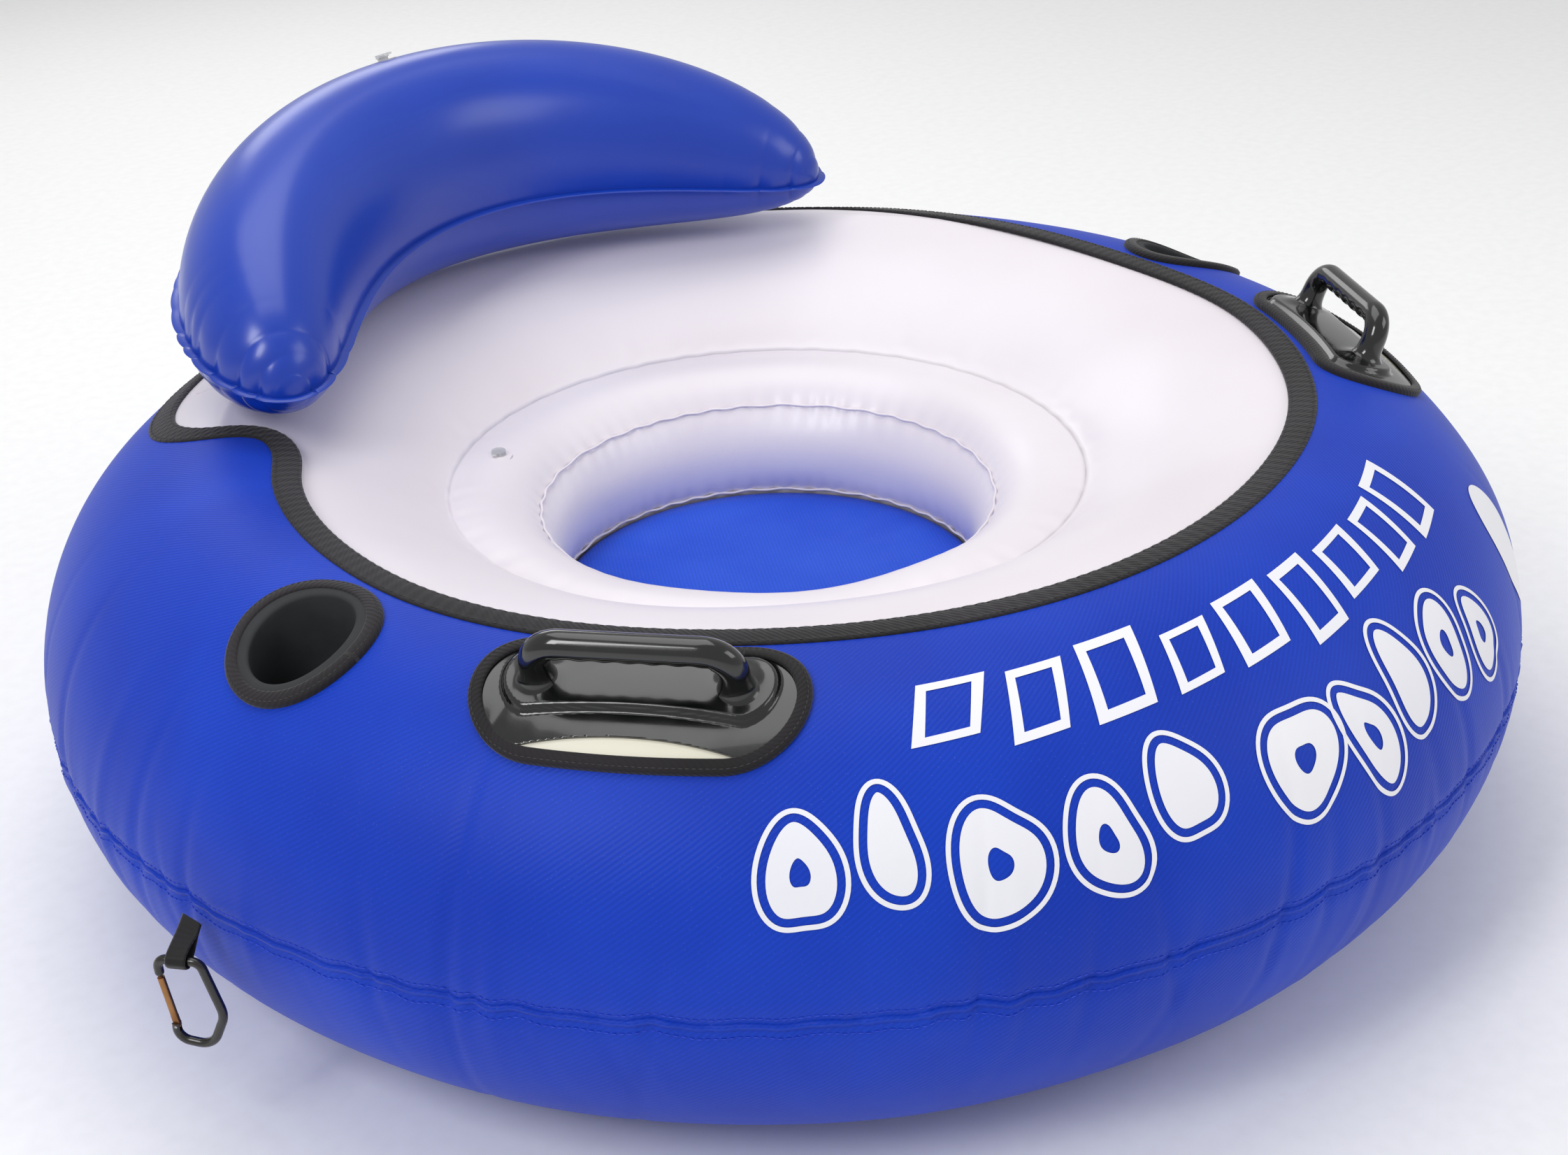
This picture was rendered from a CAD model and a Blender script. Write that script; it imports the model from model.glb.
import math
import random

import bmesh
import bpy
import numpy as np
from mathutils import Matrix, Vector


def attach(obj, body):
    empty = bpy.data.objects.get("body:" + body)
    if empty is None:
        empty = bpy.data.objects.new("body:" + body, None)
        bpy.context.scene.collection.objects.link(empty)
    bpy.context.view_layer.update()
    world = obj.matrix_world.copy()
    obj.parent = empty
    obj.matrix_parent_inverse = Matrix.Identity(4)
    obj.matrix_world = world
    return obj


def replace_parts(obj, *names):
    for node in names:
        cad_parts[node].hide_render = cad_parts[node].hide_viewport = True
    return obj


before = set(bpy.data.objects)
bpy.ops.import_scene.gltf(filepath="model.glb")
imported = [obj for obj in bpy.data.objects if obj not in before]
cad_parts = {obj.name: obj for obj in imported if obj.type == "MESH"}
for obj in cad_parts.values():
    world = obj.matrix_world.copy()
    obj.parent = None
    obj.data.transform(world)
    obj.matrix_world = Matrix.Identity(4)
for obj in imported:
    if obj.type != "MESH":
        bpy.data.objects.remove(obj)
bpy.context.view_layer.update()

MM = 0.001

# ---- the tube's own sizes, in metres, the same as in the part's source ----
RING = 0.437                   # centre of the tube's section from the ring's axis
TUBE = 0.173                   # outside of the cover round the tube
HEIGHT = 0.173                 # centre of the section above the floor
FILM = 0.1716                  # outside of the bladder inside the cover
SEAT_Y = 0.011                 # the seat well sits behind the ring's centre
OPENING = 0.432
HANDLE = (54.3, 0.497)         # bearing, distance from the ring's axis
CUP = (83.6, 0.500)
CUP_BORE = 0.037
CUP_FLOOR = 0.2246
BACK_ARC = 0.336
BACK_CENTRE = Vector((0, 0.126, 0.371))
BACK_SPREAD = math.radians(72.5)
BACK_TURN = math.radians(-5.0)
BACK_HALF_WIDTH, BACK_RISE, BACK_DROP = 0.083, 0.122, 0.0815
BACK_TILT = math.radians(10.7)
LINK = (84.0, 0.619, 0.157)    # bearing, distance and height of the webbing loop's root
LINK_FACING = 56.0             # the bearing that the loop's eye faces
LINK_REACH = 0.026


# ================= materials =================
def linear(code):
    """An sRGB hex colour as linear red, green, blue and alpha."""
    parts = [int(code[n:n + 2], 16) / 255 for n in (1, 3, 5)]
    return [c / 12.92 if c <= 0.04045 else ((c + 0.055) / 1.055) ** 2.4 for c in parts] + [1.0]


def add(tree, kind, inputs=None, **settings):
    """Adds a node with its settings; an input given a socket is linked, any other value is set."""
    made = tree.nodes.new(kind)
    for name, value in settings.items():
        setattr(made, name, value)
    for name, value in (inputs or {}).items():
        if isinstance(value, bpy.types.NodeSocket):
            tree.links.new(value, made.inputs[name])
        else:
            made.inputs[name].default_value = value
    return made


def start_material(name, **shader):
    """A material with a Principled shader, its uniform values set on the shader's own sockets."""
    material = bpy.data.materials.new(name)
    material.use_nodes = True
    tree = material.node_tree
    tree.nodes.clear()
    surface = add(tree, "ShaderNodeBsdfPrincipled", {k.replace("_", " "): v for k, v in shader.items()})
    add(tree, "ShaderNodeOutputMaterial", {"Surface": surface.outputs[0]})
    return material, tree, surface


def ramp_between(tree, factor, low, high, first, last):
    """A colour ramp on a factor from one colour to another."""
    ramp = add(tree, "ShaderNodeValToRGB", {"Fac": factor})
    ramp.color_ramp.elements[0].position, ramp.color_ramp.elements[0].color = low, first
    ramp.color_ramp.elements[1].position, ramp.color_ramp.elements[1].color = high, last
    return ramp.outputs["Color"]


def woven(name, base, light, speck, thread_mm, slant, roughness, depth, sheen=0.25, lint=0.0):
    """Woven cloth: ribs of thread across the piece's own UV map (in metres), dye that varies, lint."""
    material, tree, surface = start_material(
        name, Roughness=roughness, Sheen_Weight=sheen, Sheen_Roughness=0.45, Specular_IOR_Level=0.22)
    place = add(tree, "ShaderNodeTexCoord")
    turned = add(tree, "ShaderNodeMapping", {"Vector": place.outputs["UV"], "Rotation": (0, 0, slant)})
    ribs = add(tree, "ShaderNodeTexWave", {
        "Vector": turned.outputs[0], "Scale": 1000 / thread_mm / 6.2832 * 1.0, "Distortion": 0.6,
        "Detail": 1.0}, wave_type="BANDS", bands_direction="X")
    warp = add(tree, "ShaderNodeTexNoise", {
        "Vector": place.outputs["UV"], "Scale": 1000 / thread_mm * 0.6, "Detail": 2.0})
    weave = add(tree, "ShaderNodeMix", {0: 0.35, 2: ribs.outputs["Fac"], 3: warp.outputs["Fac"]})
    dye = add(tree, "ShaderNodeTexNoise", {"Vector": place.outputs["Object"], "Scale": 7.0, "Detail": 3.0})
    colour = ramp_between(tree, dye.outputs["Fac"], 0.36, 0.66, base, light)
    threads = ramp_between(tree, weave.outputs[0], 0.30, 0.72, (0.86, 0.86, 0.86, 1), (1.08, 1.08, 1.08, 1))
    cloth = add(tree, "ShaderNodeMix", {0: 0.55, 6: colour, 7: threads},
                data_type="RGBA", blend_type="MULTIPLY")
    final = cloth.outputs[2]
    if lint:
        flecks = add(tree, "ShaderNodeTexVoronoi", {"Vector": place.outputs["Object"], "Scale": 340.0,
                                                    "Randomness": 1.0})
        mask = ramp_between(tree, flecks.outputs["Distance"], 0.05, 0.10, (lint, lint, lint, 1), (0, 0, 0, 1))
        final = add(tree, "ShaderNodeMix", {0: mask, 6: final, 7: speck}, data_type="RGBA").outputs[2]
    tree.links.new(final, surface.inputs["Base Color"])
    bump = add(tree, "ShaderNodeBump", {"Height": weave.outputs[0], "Strength": depth, "Distance": 0.0003})
    tree.links.new(bump.outputs[0], surface.inputs["Normal"])
    return material


def film(name, base, shade, roughness, coat, ripple_mm, depth, alpha=1.0, grain_mm=1.2):
    """Calendered PVC film: even colour with faint yellowing, soft ripples and a fine pressed grain."""
    material, tree, surface = start_material(
        name, Roughness=roughness, Coat_Weight=coat, Coat_Roughness=0.18, IOR=1.53, Alpha=alpha)
    place = add(tree, "ShaderNodeTexCoord").outputs["Object"]
    cloud = add(tree, "ShaderNodeTexNoise", {"Vector": place, "Scale": 5.0, "Detail": 2.0})
    colour = ramp_between(tree, cloud.outputs["Fac"], 0.35, 0.68, base, shade)
    tree.links.new(colour, surface.inputs["Base Color"])
    ripple = add(tree, "ShaderNodeTexNoise", {"Vector": place, "Scale": 1000 / ripple_mm, "Detail": 1.5})
    grain = add(tree, "ShaderNodeTexNoise", {"Vector": place, "Scale": 1000 / grain_mm, "Detail": 2.0})
    height = add(tree, "ShaderNodeMix", {0: 0.10, 2: ripple.outputs["Fac"], 3: grain.outputs["Fac"]})
    bump = add(tree, "ShaderNodeBump", {"Height": height.outputs[0], "Strength": depth, "Distance": 0.002})
    tree.links.new(bump.outputs[0], surface.inputs["Normal"])
    return material


def moulded(name, base, shade, roughness, scratch, metallic=0.0, coat=0.0, grain_mm=0.8, depth=0.06):
    """Moulded, cast or drawn surface: fine grain, and gloss that is rubbed here and there."""
    material, tree, surface = start_material(
        name, Metallic=metallic, Coat_Weight=coat, Coat_Roughness=0.06)
    place = add(tree, "ShaderNodeTexCoord").outputs["Object"]
    rubs = add(tree, "ShaderNodeTexNoise", {"Vector": place, "Scale": 38.0, "Detail": 5.0})
    colour = ramp_between(tree, rubs.outputs["Fac"], 0.35, 0.7, base, shade)
    tree.links.new(colour, surface.inputs["Base Color"])
    gloss = add(tree, "ShaderNodeMapRange", {
        "Value": rubs.outputs["Fac"], "From Min": 0.3, "From Max": 0.75,
        "To Min": roughness, "To Max": roughness + scratch})
    tree.links.new(gloss.outputs[0], surface.inputs["Roughness"])
    grain = add(tree, "ShaderNodeTexNoise", {"Vector": place, "Scale": 1000 / grain_mm, "Detail": 2.0})
    bump = add(tree, "ShaderNodeBump", {
        "Height": grain.outputs["Fac"], "Strength": depth, "Distance": 0.0004})
    tree.links.new(bump.outputs[0], surface.inputs["Normal"])
    return material


# 420-denier nylon in a 2/2 twill, coated inside: deep royal blue with a soft satin sheen on the folds.
# A real rib is 0.5 mm; it is drawn 1.6 mm apart so that it shows.
NYLON = woven("coated_nylon_twill", linear("#0234b0"), linear("#073cbc"), linear("#5f7bea"),
              1.6, 0.9, 0.50, 0.45, sheen=0.05, lint=0.5)
# The floor is the same cloth, less stretched, with lint on it.
NYLON_FLOOR = woven("coated_nylon_twill_floor", linear("#1a4ccc"), linear("#2858d6"), linear("#8ea3f2"),
                    1.6, 0.6, 0.6, 0.45, sheen=0.08, lint=0.8)
# Black polyester twill tape, ribbed across: matt, greyer on its high threads.
TAPE = woven("black_twill_tape", linear("#1b191b"), linear("#262327"), linear("#555055"),
             1.8, 0.7, 0.72, 0.9, sheen=0.2)
# Heavy polyester webbing with 2 mm ribs: black, slightly shiny threads.
WEBBING = woven("ribbed_black_webbing", linear("#161515"), linear("#242222"), linear("#4a4848"),
                2.2, 0.0, 0.55, 1.0, sheen=0.3)
# Closed-cell neoprene: rubbery, dark grey, no highlight.
NEOPRENE = moulded("neoprene_sheet", linear("#26282b"), linear("#2f3235"), 0.78, 0.12,
                   grain_mm=0.6, depth=0.5)
# Calendered white PVC film, a little pink and satin: it takes wide soft highlights.
WHITE_FILM = film("white_pvc_film", linear("#ece6ec"), linear("#e7e0e6"), 0.42, 0.12, 60, 0.25)
# The same film in royal blue with a harder polish on the backrest: bright highlights, dark edges.
BLUE_FILM = film("blue_pvc_film", linear("#0236a8"), linear("#043cb4"), 0.30, 0.16, 45, 0.16)
# Clear flexible PVC of the valves: glossy, greyish where thick.
CLEAR_PVC = film("clear_flexible_pvc", linear("#d9dadb"), linear("#c9cacc"), 0.16, 0.5, 6, 0.2, alpha=0.6)
# Cream PVC that the handle moulding is welded to.
CREAM_FILM = film("cream_pvc_patch", linear("#f2efdf"), linear("#e9e5d2"), 0.35, 0.2, 20, 0.2)
# Injection-moulded black PVC: mirror-like gloss with faint rubbing.
BLACK_PVC = moulded("gloss_black_moulded_pvc", linear("#0b0c0c"), linear("#131414"), 0.10, 0.14, coat=0.5)
# White heat-transfer print, thin and slightly satin over the cloth.
PRINT = film("white_transfer_print", linear("#f3f3f8"), linear("#ebebf3"), 0.5, 0.0, 12, 0.15)
# Blue cotton-wrapped thread, lighter than the cloth where it catches light.
THREAD = moulded("blue_polyester_thread", linear("#1a3cc4"), linear("#2b4fd8"), 0.6, 0.1)
BLACK_THREAD = moulded("black_polyester_thread", linear("#2a282a"), linear("#3a383a"), 0.6, 0.1)
# Bent steel wire under black enamel, chipped a little brown where it rubs.
ENAMEL = moulded("black_enamelled_wire", linear("#0e0d0d"), linear("#1d1814"), 0.2, 0.2, coat=0.3)
# Bronze-anodised gate: warm metal with drawn lines.
BRONZE = moulded("bronze_anodised_rod", linear("#a3784f"), linear("#8a5f3b"), 0.3, 0.15, metallic=1.0)
STEEL = moulded("plain_steel_wire", linear("#b9b9ba"), linear("#a2a2a4"), 0.35, 0.1, metallic=1.0)


# ================= mesh helpers =================
def to_object(name, points, faces, material, body="tube", uv=None, smooth=True):
    """A finished piece at the origin that rides on a body; uv is one pair of metres per point."""
    mesh = bpy.data.meshes.new(name)
    mesh.from_pydata([tuple(p) for p in points], [], [tuple(int(i) for i in f) for f in faces])
    mesh.update()
    if uv is not None:
        layer = mesh.uv_layers.new(name="metres")
        indices = np.zeros(len(mesh.loops), int)
        mesh.loops.foreach_get("vertex_index", indices)
        layer.data.foreach_set("uv", np.asarray(uv, float)[indices].ravel())
    mesh.materials.append(material)
    mesh.shade_smooth() if smooth else mesh.shade_flat()
    obj = bpy.data.objects.new(name, mesh)
    bpy.context.scene.collection.objects.link(obj)
    if body:
        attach(obj, body)
    return obj


def grid_faces(rows, columns, closed=True, flip=False, skip=None):
    """Quads over a grid of rows by columns; a closed grid joins its last column to its first."""
    faces = []
    for r in range(rows - 1):
        for c in range(columns if closed else columns - 1):
            d = (c + 1) % columns
            quad = (r * columns + c, r * columns + d, (r + 1) * columns + d, (r + 1) * columns + c)
            if skip is None or not skip[r, c]:
                faces.append(quad[::-1] if flip else quad)
    return faces


def merge_close(obj, distance=1e-5, outward=False):
    mesh = bmesh.new()
    mesh.from_mesh(obj.data)
    bmesh.ops.remove_doubles(mesh, verts=mesh.verts, dist=distance)
    if outward:
        bmesh.ops.recalc_face_normals(mesh, faces=mesh.faces)
    mesh.to_mesh(obj.data)
    mesh.free()


def fade(edge0, edge1, x):
    t = np.clip((np.asarray(x, float) - edge0) / (edge1 - edge0), 0, 1)
    return t * t * (3 - 2 * t)


# ================= the surface of the cover =================
def tube_point(bearing, section, radius):
    """Points round the tube: bearing from the leg side towards +X, section angle from the equator up."""
    flat = RING + radius * np.cos(section)
    return np.stack([np.sin(bearing) * flat, -np.cos(bearing) * flat, HEIGHT + radius * np.sin(section)], -1)


def make_folds():
    """Gathers that run out of the equator seam: bearing, depth, half width, reach up, reach down, lean."""
    rng = random.Random(7)
    folds = []
    bearing = -math.pi
    while bearing < math.pi:
        depth = rng.choice((0.5, 0.8, 1.1, 1.6)) * MM
        up = rng.choice((0.012, 0.018, 0.028, 0.040))
        down = rng.choice((0.02, 0.035, 0.06, 0.09))
        sign = rng.choice((-1, -1, 1))
        folds.append((bearing, sign * depth, rng.uniform(0.0030, 0.0062), up, down, rng.uniform(-0.35, 0.35)))
        bearing += rng.uniform(0.010, 0.034) / 0.61
    tall = ((-64.6, -2.8, 0.0050, 0.100, 0.10, 0.05), (-61.8, 1.6, 0.0080, 0.080, 0.05, 0.05),
            (-70.0, -1.5, 0.0060, 0.060, 0.05, -0.1), (-40.0, -1.6, 0.006, 0.050, 0.05, 0.1),
            (-33.0, -2.2, 0.0050, 0.070, 0.04, 0.12), (-31.0, 1.5, 0.0080, 0.060, 0.03, 0.10),
            (-26.0, -1.6, 0.006, 0.055, 0.05, 0.15), (-20.5, -2.2, 0.0050, 0.060, 0.05, -0.15),
            (-12.0, -2.4, 0.0055, 0.062, 0.06, 0.2), (-8.0, -1.5, 0.006, 0.045, 0.06, 0.1),
            (-3.0, -2.0, 0.0060, 0.052, 0.08, 0.0), (4.0, -1.6, 0.006, 0.045, 0.06, -0.1),
            (9.0, -2.2, 0.0060, 0.060, 0.05, -0.1), (17.0, -1.8, 0.006, 0.055, 0.05, -0.1),
            (-52.0, -1.6, 0.0070, 0.045, 0.12, 0.2), (-86.0, -2.0, 0.0060, 0.050, 0.07, 0.1),
            (-97.0, 1.5, 0.009, 0.070, 0.05, 0.1), (-92.0, -1.9, 0.006, 0.075, 0.05, 0.15),
            (-105.0, -2.2, 0.0070, 0.080, 0.05, -0.1), (-114.0, -1.8, 0.007, 0.070, 0.05, -0.1),
            (26.0, -1.8, 0.006, 0.055, 0.05, 0.1), (33.0, -2.0, 0.0065, 0.060, 0.05, 0.1))
    for at, deep, wide, up, down, lean in tall:
        folds.append((math.radians(at), 1.3 * deep * MM, wide * 0.9, up * 1.15, down, lean))
    return folds


FOLDS = make_folds()


def soft_noise(bearing, section, scale, seed):
    """A smooth random value for each place, from a few waves that close round the ring."""
    rng = np.random.default_rng(seed)
    total = np.zeros(np.broadcast(bearing, section).shape)
    for _ in range(9):
        turns = int(rng.integers(2, max(3, int(scale))))
        across = rng.uniform(0.5, scale / 3)
        total = total + np.sin(turns * bearing + across * section + rng.uniform(0, 6.28))
    return total / 9


def cover_relief(bearing, section):
    """How far the cover stands off its round shape: gathers at the seam, dents and the pinch of the seam."""
    along = section * TUBE
    distance = np.abs(along)
    total = 0.0012 * soft_noise(bearing, section, 16, 3) * fade(1.45, 0.9, section)
    for at, depth, wide, up, down, lean in FOLDS:
        reach = np.where(along >= 0, up, down)
        offset = (np.mod(bearing - at + math.pi, 2 * math.pi) - math.pi) * 0.61 - lean * along
        near = np.abs(offset) < 4 * wide
        shape = np.exp(-(offset / wide) ** 2) * np.exp(-(distance / reach) ** 1.6)
        total = total + np.where(near, depth * shape, 0)
    total = total - 0.0026 * np.exp(-(distance / 0.0065) ** 2)
    return total


def cover_point(bearing, section, lift=0.0):
    bearing, section = np.broadcast_arrays(np.asarray(bearing, float), np.asarray(section, float))
    return tube_point(bearing, section, TUBE + cover_relief(bearing, section) + lift)


def section_at(radius):
    """The section angle of the cover's upper skin at a distance from the ring's axis."""
    return np.arccos(np.clip((radius - RING) / TUBE, -1, 1))


def patch_place(bearing_deg, radius, x, y):
    """Bearing and section angle of a place x along the ring and y towards the seat, from a centre."""
    section = section_at(radius) + np.asarray(y, float) / TUBE
    bearing = math.radians(bearing_deg) + np.asarray(x, float) / (RING + TUBE * np.cos(section))
    return bearing, section


def patch_point(bearing_deg, radius, x, y, lift):
    return cover_point(*patch_place(bearing_deg, radius, x, y), lift)


def closed_spline(corners, count, offset=0.0):
    """Evenly spaced points on the smooth closed curve through the corners, moved sideways by an offset."""
    corners = np.asarray(corners, float)
    n = len(corners)
    step = np.roll(corners, -1, 0) - corners
    h = np.linalg.norm(step, axis=1)
    matrix, right = np.zeros((n, n)), np.zeros((n, 2))
    for i in range(n):
        matrix[i, i - 1] += h[i - 1]
        matrix[i, i] += 2 * (h[i - 1] + h[i])
        matrix[i, (i + 1) % n] += h[i]
        right[i] = 6 * (step[i] / h[i] - step[i - 1] / h[i - 1])
    bend = np.linalg.solve(matrix, right)
    fine = []
    for i in range(n):
        j = (i + 1) % n
        for s in np.linspace(0, 1, 60, endpoint=False):
            a, b = 1 - s, s
            fine.append(a * corners[i] + b * corners[j]
                        + h[i] ** 2 / 6 * ((a ** 3 - a) * bend[i] + (b ** 3 - b) * bend[j]))
    fine = np.array(fine)
    tangent = np.roll(fine, -1, 0) - np.roll(fine, 1, 0)
    tangent /= np.linalg.norm(tangent, axis=1)[:, None]
    fine = fine + np.stack([tangent[:, 1], -tangent[:, 0]], 1) * offset
    length = np.linalg.norm(np.roll(fine, -1, 0) - fine, axis=1)
    total = np.concatenate([[0], np.cumsum(length)])
    looped = np.vstack([fine, fine[:1]])
    where = np.linspace(0, total[-1], count, endpoint=False)
    return np.stack([np.interp(where, total, looped[:, k]) for k in (0, 1)], 1), total[-1]


def opening_corners():
    """Control places of the cover's opening: round in front, a tongue by the left end of the backrest."""
    behind = ((-180, 94), (-158, 94), (-143, 90), (-134.6, 80), (-129.5, 60), (-127, 34), (-126.2, 6))
    tongue = ((-125, -20), (-121, -34), (-114, -31), (-104, -22), (-90, -11), (-78, -2))
    front = ((-64, 1), (-47, -2), (-30, -3), (-14, -5), (2, -8), (18, -8), (33, -4), (50, -1))
    right = ((66, 1), (84, -3), (102, 12), (120, 40), (134, 64), (146, 83), (160, 93))
    places = []
    for bearing, extra in behind + tongue + front + right:
        angle, radius = math.radians(bearing), OPENING + extra * MM
        places.append((math.sin(angle) * radius, -math.cos(angle) * radius))
    return places


def polar(points):
    return np.arctan2(points[:, 0], -points[:, 1]), np.hypot(points[:, 0], points[:, 1])


def cup_centres():
    for side in (-1, 1):
        angle = math.radians(side * CUP[0])
        yield np.array([math.sin(angle) * CUP[1], -math.cos(angle) * CUP[1]])


def over_cups(points, reach):
    """Which of these points lie within a plan distance of a cup well's axis, on the upper side."""
    hit = np.zeros(points.shape[:-1], bool)
    for centre in cup_centres():
        hit |= (np.linalg.norm(points[..., :2] - centre, axis=-1) < reach) & (points[..., 2] > HEIGHT)
    return hit


def quad_centres(points):
    return (points[:-1] + points[1:] + np.roll(points[:-1], -1, 1) + np.roll(points[1:], -1, 1)) / 4


# ================= the cover =================
def make_cover_upper():
    outline, _ = closed_spline(opening_corners(), 860, offset=0.0)
    bearing, radius = polar(outline)
    top = section_at(radius)
    share = np.linspace(0, 1, 58)[:, None]
    section = share * top[None, :]
    spread = np.repeat(bearing[None, :], 58, 0)
    points = cover_point(spread, section)
    skip = over_cups(quad_centres(points), 0.0425)
    uv = np.stack([spread * 0.56, section * TUBE], -1).reshape(-1, 2)
    cover = to_object("cover_upper_panel", points.reshape(-1, 3), grid_faces(58, 860, skip=skip), NYLON, uv=uv)
    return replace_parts(cover, "cover_top_panel")


def make_cover_lower():
    columns, rows = 800, 52
    bearing = np.linspace(-math.pi, math.pi, columns, endpoint=False)[None, :]
    section = -np.linspace(0, math.pi / 2, rows)[:, None]
    points = cover_point(bearing, section)
    gathers = 0.0012 * np.sin(bearing * 61 + 2 * np.sin(bearing * 7)) * np.exp(-((section + 1.5) / 0.12) ** 2)
    points[..., 2] = np.maximum(points[..., 2] + gathers, 0.0004)
    uv = np.stack([bearing * 0.56 + 0 * section, section * TUBE + 0 * bearing], -1).reshape(-1, 2)
    cover = to_object("cover_lower_panel", points.reshape(-1, 3), grid_faces(rows, columns, flip=True), NYLON,
                      uv=uv)
    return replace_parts(cover, "cover_bottom_panel")


def make_floor_cloth(name, node, middle, reach, low, ripples, depth, slack):
    """A round floor of cloth: a thin closed panel with fine ripples towards its seam and a little slack."""
    columns, rows = 240, 46
    angle = np.linspace(0, 2 * math.pi, columns, endpoint=False)[None, :]
    radius = np.linspace(0.002, reach, rows)[:, None]
    x, y = radius * np.cos(angle), radius * np.sin(angle)
    pull = fade(0.42 * reach, reach, radius)
    ripple = 0.5 + 0.5 * np.sin(angle * ripples + 3 * np.sin(angle * 3)) * pull
    broad = 0.5 + 0.5 * np.sin(9 * x + 4) * np.cos(8 * y + 1)
    lift = (depth * ripple + slack * broad) * fade(reach, 0.9 * reach, radius)
    upper = np.stack([x, y + middle, low + 0.0010 + lift], -1)
    lower = np.stack([x, y + middle, low + 0.0001 + 0 * lift], -1)
    points = np.concatenate([lower, upper[::-1]], 0)
    count = points.shape[0]
    faces = grid_faces(count, columns, flip=True)
    faces.append(tuple(range(columns)))
    faces.append(tuple(range((count - 1) * columns, count * columns))[::-1])
    uv = points[..., :2].reshape(-1, 2)
    floor = to_object(name, points.reshape(-1, 3), faces, NYLON_FLOOR, uv=uv)
    merge_close(floor, 1e-7, outward=True)
    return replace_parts(floor, node)


def strip_along(name, profile, material, uv_step, closed=True, body="tube"):
    """A band that follows a line on the cover; profile is rows of (offset arrays) already in place."""
    rows = len(profile)
    columns = profile[0].shape[0]
    points = np.stack(profile, 0)
    length = np.linspace(0, uv_step * columns, columns, endpoint=False)
    across = np.concatenate([[0], np.cumsum(np.linalg.norm(np.diff(points, axis=0), axis=-1).mean(1))])
    uv = np.stack(np.broadcast_arrays(length[None, :], across[:, None]), -1).reshape(-1, 2)
    faces = grid_faces(rows, columns, closed=closed)
    obj = to_object(name, points.reshape(-1, 3), faces, material, uv=uv, body=body)
    return obj


def make_equator_seam():
    """The folded seam allowance: a low, puckered ridge that stands out of the pinched cover."""
    columns = 1400
    bearing = np.linspace(-math.pi, math.pi, columns, endpoint=False)
    wave = 0.0012 * np.sin(bearing * 97 + 3 * np.sin(11 * bearing)) + 0.0009 * np.sin(bearing * 41 + 1)
    sag = wave * 0.9
    rows = []
    for v, lift in ((-0.0030, -0.0006), (-0.0024, 0.0008), (-0.0010, 0.0014), (0.0002, 0.0022),
                    (0.0014, 0.0023), (0.0024, 0.0010), (0.0030, -0.0006)):
        section = (v + sag) / TUBE
        rows.append(tube_point(bearing, section, TUBE + cover_relief(bearing, section) + lift + 0.3 * wave))
    seam = strip_along("equator_seam", rows, NYLON, 3.83 / columns)
    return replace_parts(seam, "equator_seam_ridge")


def make_opening_tape():
    """Binding tape folded over the opening's edge, with a slight pucker at each stitch."""
    columns = 1100
    profile = ((0.0112, 0.0001), (0.0109, 0.0011), (0.0095, 0.0017), (0.0070, 0.0014), (0.0035, 0.0017),
               (-0.0030, 0.0018), (-0.0085, 0.0017), (-0.0106, 0.0012), (-0.0113, 0.0), (-0.0112, -0.0013))
    rows = []
    for offset, lift in profile:
        line, length = closed_spline(opening_corners(), columns, offset)
        bearing, radius = polar(line)
        wobble = 0.00025 * np.sin(np.arange(columns) * 2 * math.pi * 290 / columns)
        rows.append(cover_point(bearing, section_at(radius), lift + wobble))
    tape = strip_along("opening_tape", rows[::-1], TAPE, length / columns)
    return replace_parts(tape, "opening_binding")


# ================= the bladder =================
def arc_rows(start, middle, end, count):
    """Points on the circle through three (radius, height) places."""
    (ax, ay), (bx, by), (cx, cy) = start, middle, end
    d = 2 * (ax * (by - cy) + bx * (cy - ay) + cx * (ay - by))
    a2, b2, c2 = ax * ax + ay * ay, bx * bx + by * by, cx * cx + cy * cy
    ux = (a2 * (by - cy) + b2 * (cy - ay) + c2 * (ay - by)) / d
    uy = (a2 * (cx - bx) + b2 * (ax - cx) + c2 * (bx - ax)) / d
    first, last = math.atan2(ay - uy, ax - ux), math.atan2(cy - uy, cx - ux)
    mid = math.atan2(by - uy, bx - ux)
    if not (min(first, last) <= mid <= max(first, last)):
        last += 2 * math.pi if last < first else -2 * math.pi
    r = math.hypot(ax - ux, ay - uy)
    angles = np.linspace(first, last, count)
    return np.stack([ux + r * np.cos(angles), uy + r * np.sin(angles)], 1)


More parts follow.
